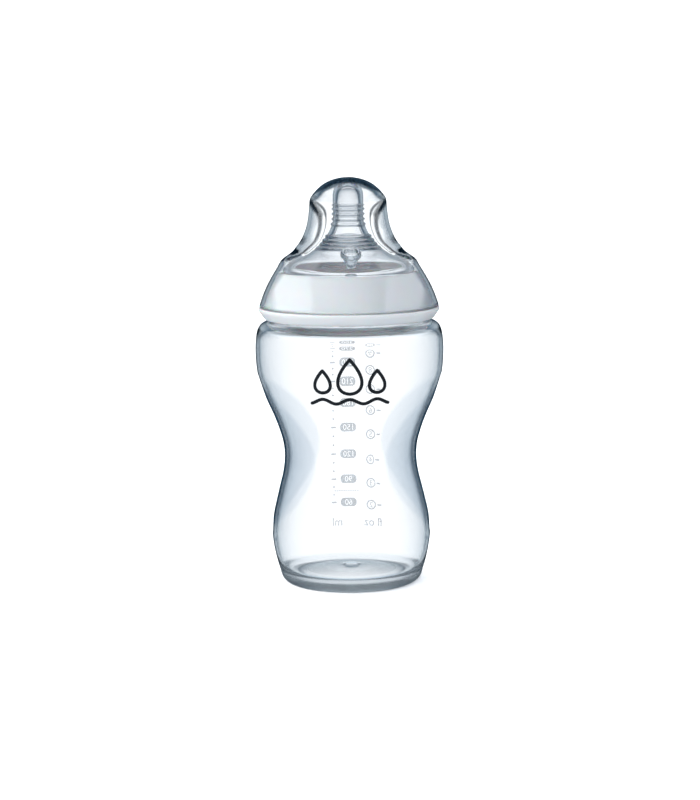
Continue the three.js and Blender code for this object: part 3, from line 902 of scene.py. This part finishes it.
def makeFloor(spec):
    half = spec["half"]
    mesh = bpy.data.meshes.new("floor")
    mesh.from_pydata([(-half, -half, 0), (half, -half, 0), (half, half, 0), (-half, half, 0)],
                     [], [(0, 1, 2, 3)])
    material, tree = newMaterial("paleFloor")
    shader = addNode(tree, "BsdfPrincipled", {"Base Color": linear(spec["colour"]),
                                              "Roughness": spec["roughness"]})
    addNode(tree, "OutputMaterial", None, {"Surface": shader.outputs["BSDF"]})
    mesh.materials.append(material)
    floor = newObject("floor", mesh)
    floor.visible_glossy = False
    floor.visible_transmission = False


def makeWorld(spec):
    # one look for each kind of ray: pale for the camera, the field for light that came through
    # the plastic, the mirror for light thrown back outside, inner for light thrown back within a
    # wall, and soft for everything matt
    world = bpy.data.worlds.new("studio")
    world.use_nodes = True
    tree = world.node_tree
    tree.nodes.clear()
    rays = addNode(tree, "LightPath").outputs
    direction = addNode(tree, "TexCoord").outputs["Generated"]
    split = addNode(tree, "SeparateXYZ", None, {"Vector": direction}).outputs
    height, across = (addNode(tree, "MapRange", {"From Min": -1.0},
                              {"Value": split[axis]}).outputs["Result"] for axis in "ZX")
    ahead = addNode(tree, "VectorMath", {"operation": "DOT_PRODUCT", 1: spec["ahead"]},
                    {0: direction}).outputs["Value"]
    ahead, beside = (addNode(tree, "Math", {"operation": "ABSOLUTE"},
                             {0: value}).outputs[0] for value in (ahead, split["X"]))
    ramps = {name: addNode(tree, "ValToRGB", {"stops": spec[name]},
                           {"Fac": value}).outputs["Color"]
             for name, value in (("field", ahead), ("fieldTall", height), ("inner", ahead),
                                 ("innerTall", height), ("mirror", split["Z"]),
                                 ("soft", across))}
    # the field and the inner look are each a ramp of how straight ahead times one of the height
    looks = []
    for name in ("field", "inner"):
        seen = addNode(tree, "Mix", {"data_type": "RGBA", "blend_type": "MULTIPLY", 0: 1.0},
                       {6: ramps[name], 7: ramps[name + "Tall"]}).outputs[2]
        looks.append(addNode(tree, "Background", {"Strength": spec[name + "Strength"]},
                             {"Color": seen}).outputs[0])
    field, inner = looks
    for end in (spec["top"], spec["under"]):
        share = addNode(tree, "MapRange", {"From Min": end["from"], "From Max": end["to"]},
                        {"Value": split["Z"]}).outputs["Result"]
        light = addNode(tree, "Background", {"Color": linear(end["colour"]),
                                             "Strength": end["strength"]}).outputs[0]
        inner = addNode(tree, "MixShader", None, {0: share, 1: inner, 2: light}).outputs[0]
    # the mirror look is dark, with a tall bright panel on both sides
    panel = spec["panel"]
    above, aside = (addNode(tree, "MapRange",
                            {"From Min": start, "From Max": start + panel["soft"]},
                            {"Value": value}).outputs["Result"]
                    for start, value in ((panel["low"], split["Z"]), (panel["across"], beside)))
    lit = addNode(tree, "Math", {"operation": "MULTIPLY"}, {0: above, 1: aside})
    dark = addNode(tree, "Background", None, {"Color": ramps["mirror"]}).outputs[0]
    box = addNode(tree, "Background", {"Color": linear(panel["colour"]),
                                       "Strength": panel["strength"]}).outputs[0]
    mirror = addNode(tree, "MixShader", None, {0: lit.outputs[0], 1: dark, 2: box}).outputs[0]
    side = addNode(tree, "MapRange",
                   {"From Min": -1.0, "To Min": spec["softLeft"], "To Max": spec["softRight"]},
                   {"Value": split["X"]}).outputs["Result"]
    soft = addNode(tree, "Background", None,
                   {"Color": ramps["soft"], "Strength": side}).outputs[0]
    pale = addNode(tree, "Background", {"Color": (1, 1, 1, 1),
                                        "Strength": spec["background"]}).outputs[0]
    thrown = addNode(tree, "MixShader", None,
                     {0: rays["Is Reflection Ray"], 1: inner, 2: mirror}).outputs[0]
    afterGloss, afterMatt = (addNode(tree, "Math", {"operation": "GREATER_THAN", 1: 0.5},
                                     {0: rays[name]}).outputs[0]
                             for name in ("Glossy Depth", "Diffuse Depth"))
    look = soft
    for test, chosen in ((rays["Is Camera Ray"], pale), (rays["Is Transmission Ray"], field),
                         (afterGloss, thrown), (afterMatt, soft)):
        look = addNode(tree, "MixShader", None, {0: test, 1: look, 2: chosen}).outputs[0]
    addNode(tree, "OutputWorld", None, {"Surface": look})
    scene.world = world


makeFloor(studio["floor"])
makeWorld(studio)

view = {"distance": 0.850, "height": 0.195, "aim": 0.0739, "focal": 95.2, "sensor": 36.0,
        "roll": 0.6}
cameraData = bpy.data.cameras.new("camera")
cameraData.lens = view["focal"]
cameraData.sensor_width = view["sensor"]
camera = newObject("camera", cameraData)
camera.location = (0, -view["distance"], view["height"])
aim = Vector((0, 0, view["aim"])) - camera.location
camera.rotation_mode = "QUATERNION"
camera.rotation_quaternion = (aim.to_track_quat("-Z", "Y")
                              @ Quaternion((0, 0, 1), math.radians(-view["roll"])))
scene.camera = camera

lights = {
    "leftBox": {"at": (-0.9, -0.5, 0.6), "aim": (0, 0, 0.08), "size": (0.5, 1.0), "power": 2.0},
    "topBox": {"at": (0.1, -0.1, 1.2), "aim": (0, 0, 0.08), "size": (0.8, 0.8), "power": 2.0},
}
for name, spec in lights.items():
    data = bpy.data.lights.new(name, "AREA")
    data.shape = "RECTANGLE"
    data.size, data.size_y = spec["size"]
    data.energy = spec["power"]
    lamp = newObject(name, data)
    lamp.location = spec["at"]
    lamp.visible_glossy = False
    lamp.visible_transmission = False
    lamp.rotation_mode = "QUATERNION"
    lamp.rotation_quaternion = (Vector(spec["aim"]) - lamp.location).to_track_quat("-Z", "Y")

scene.view_settings.view_transform = "Standard"
scene.cycles.max_bounces = 24
scene.cycles.transmission_bounces = 24
scene.cycles.glossy_bounces = 12
scene.cycles.transparent_max_bounces = 16
print("stage made")
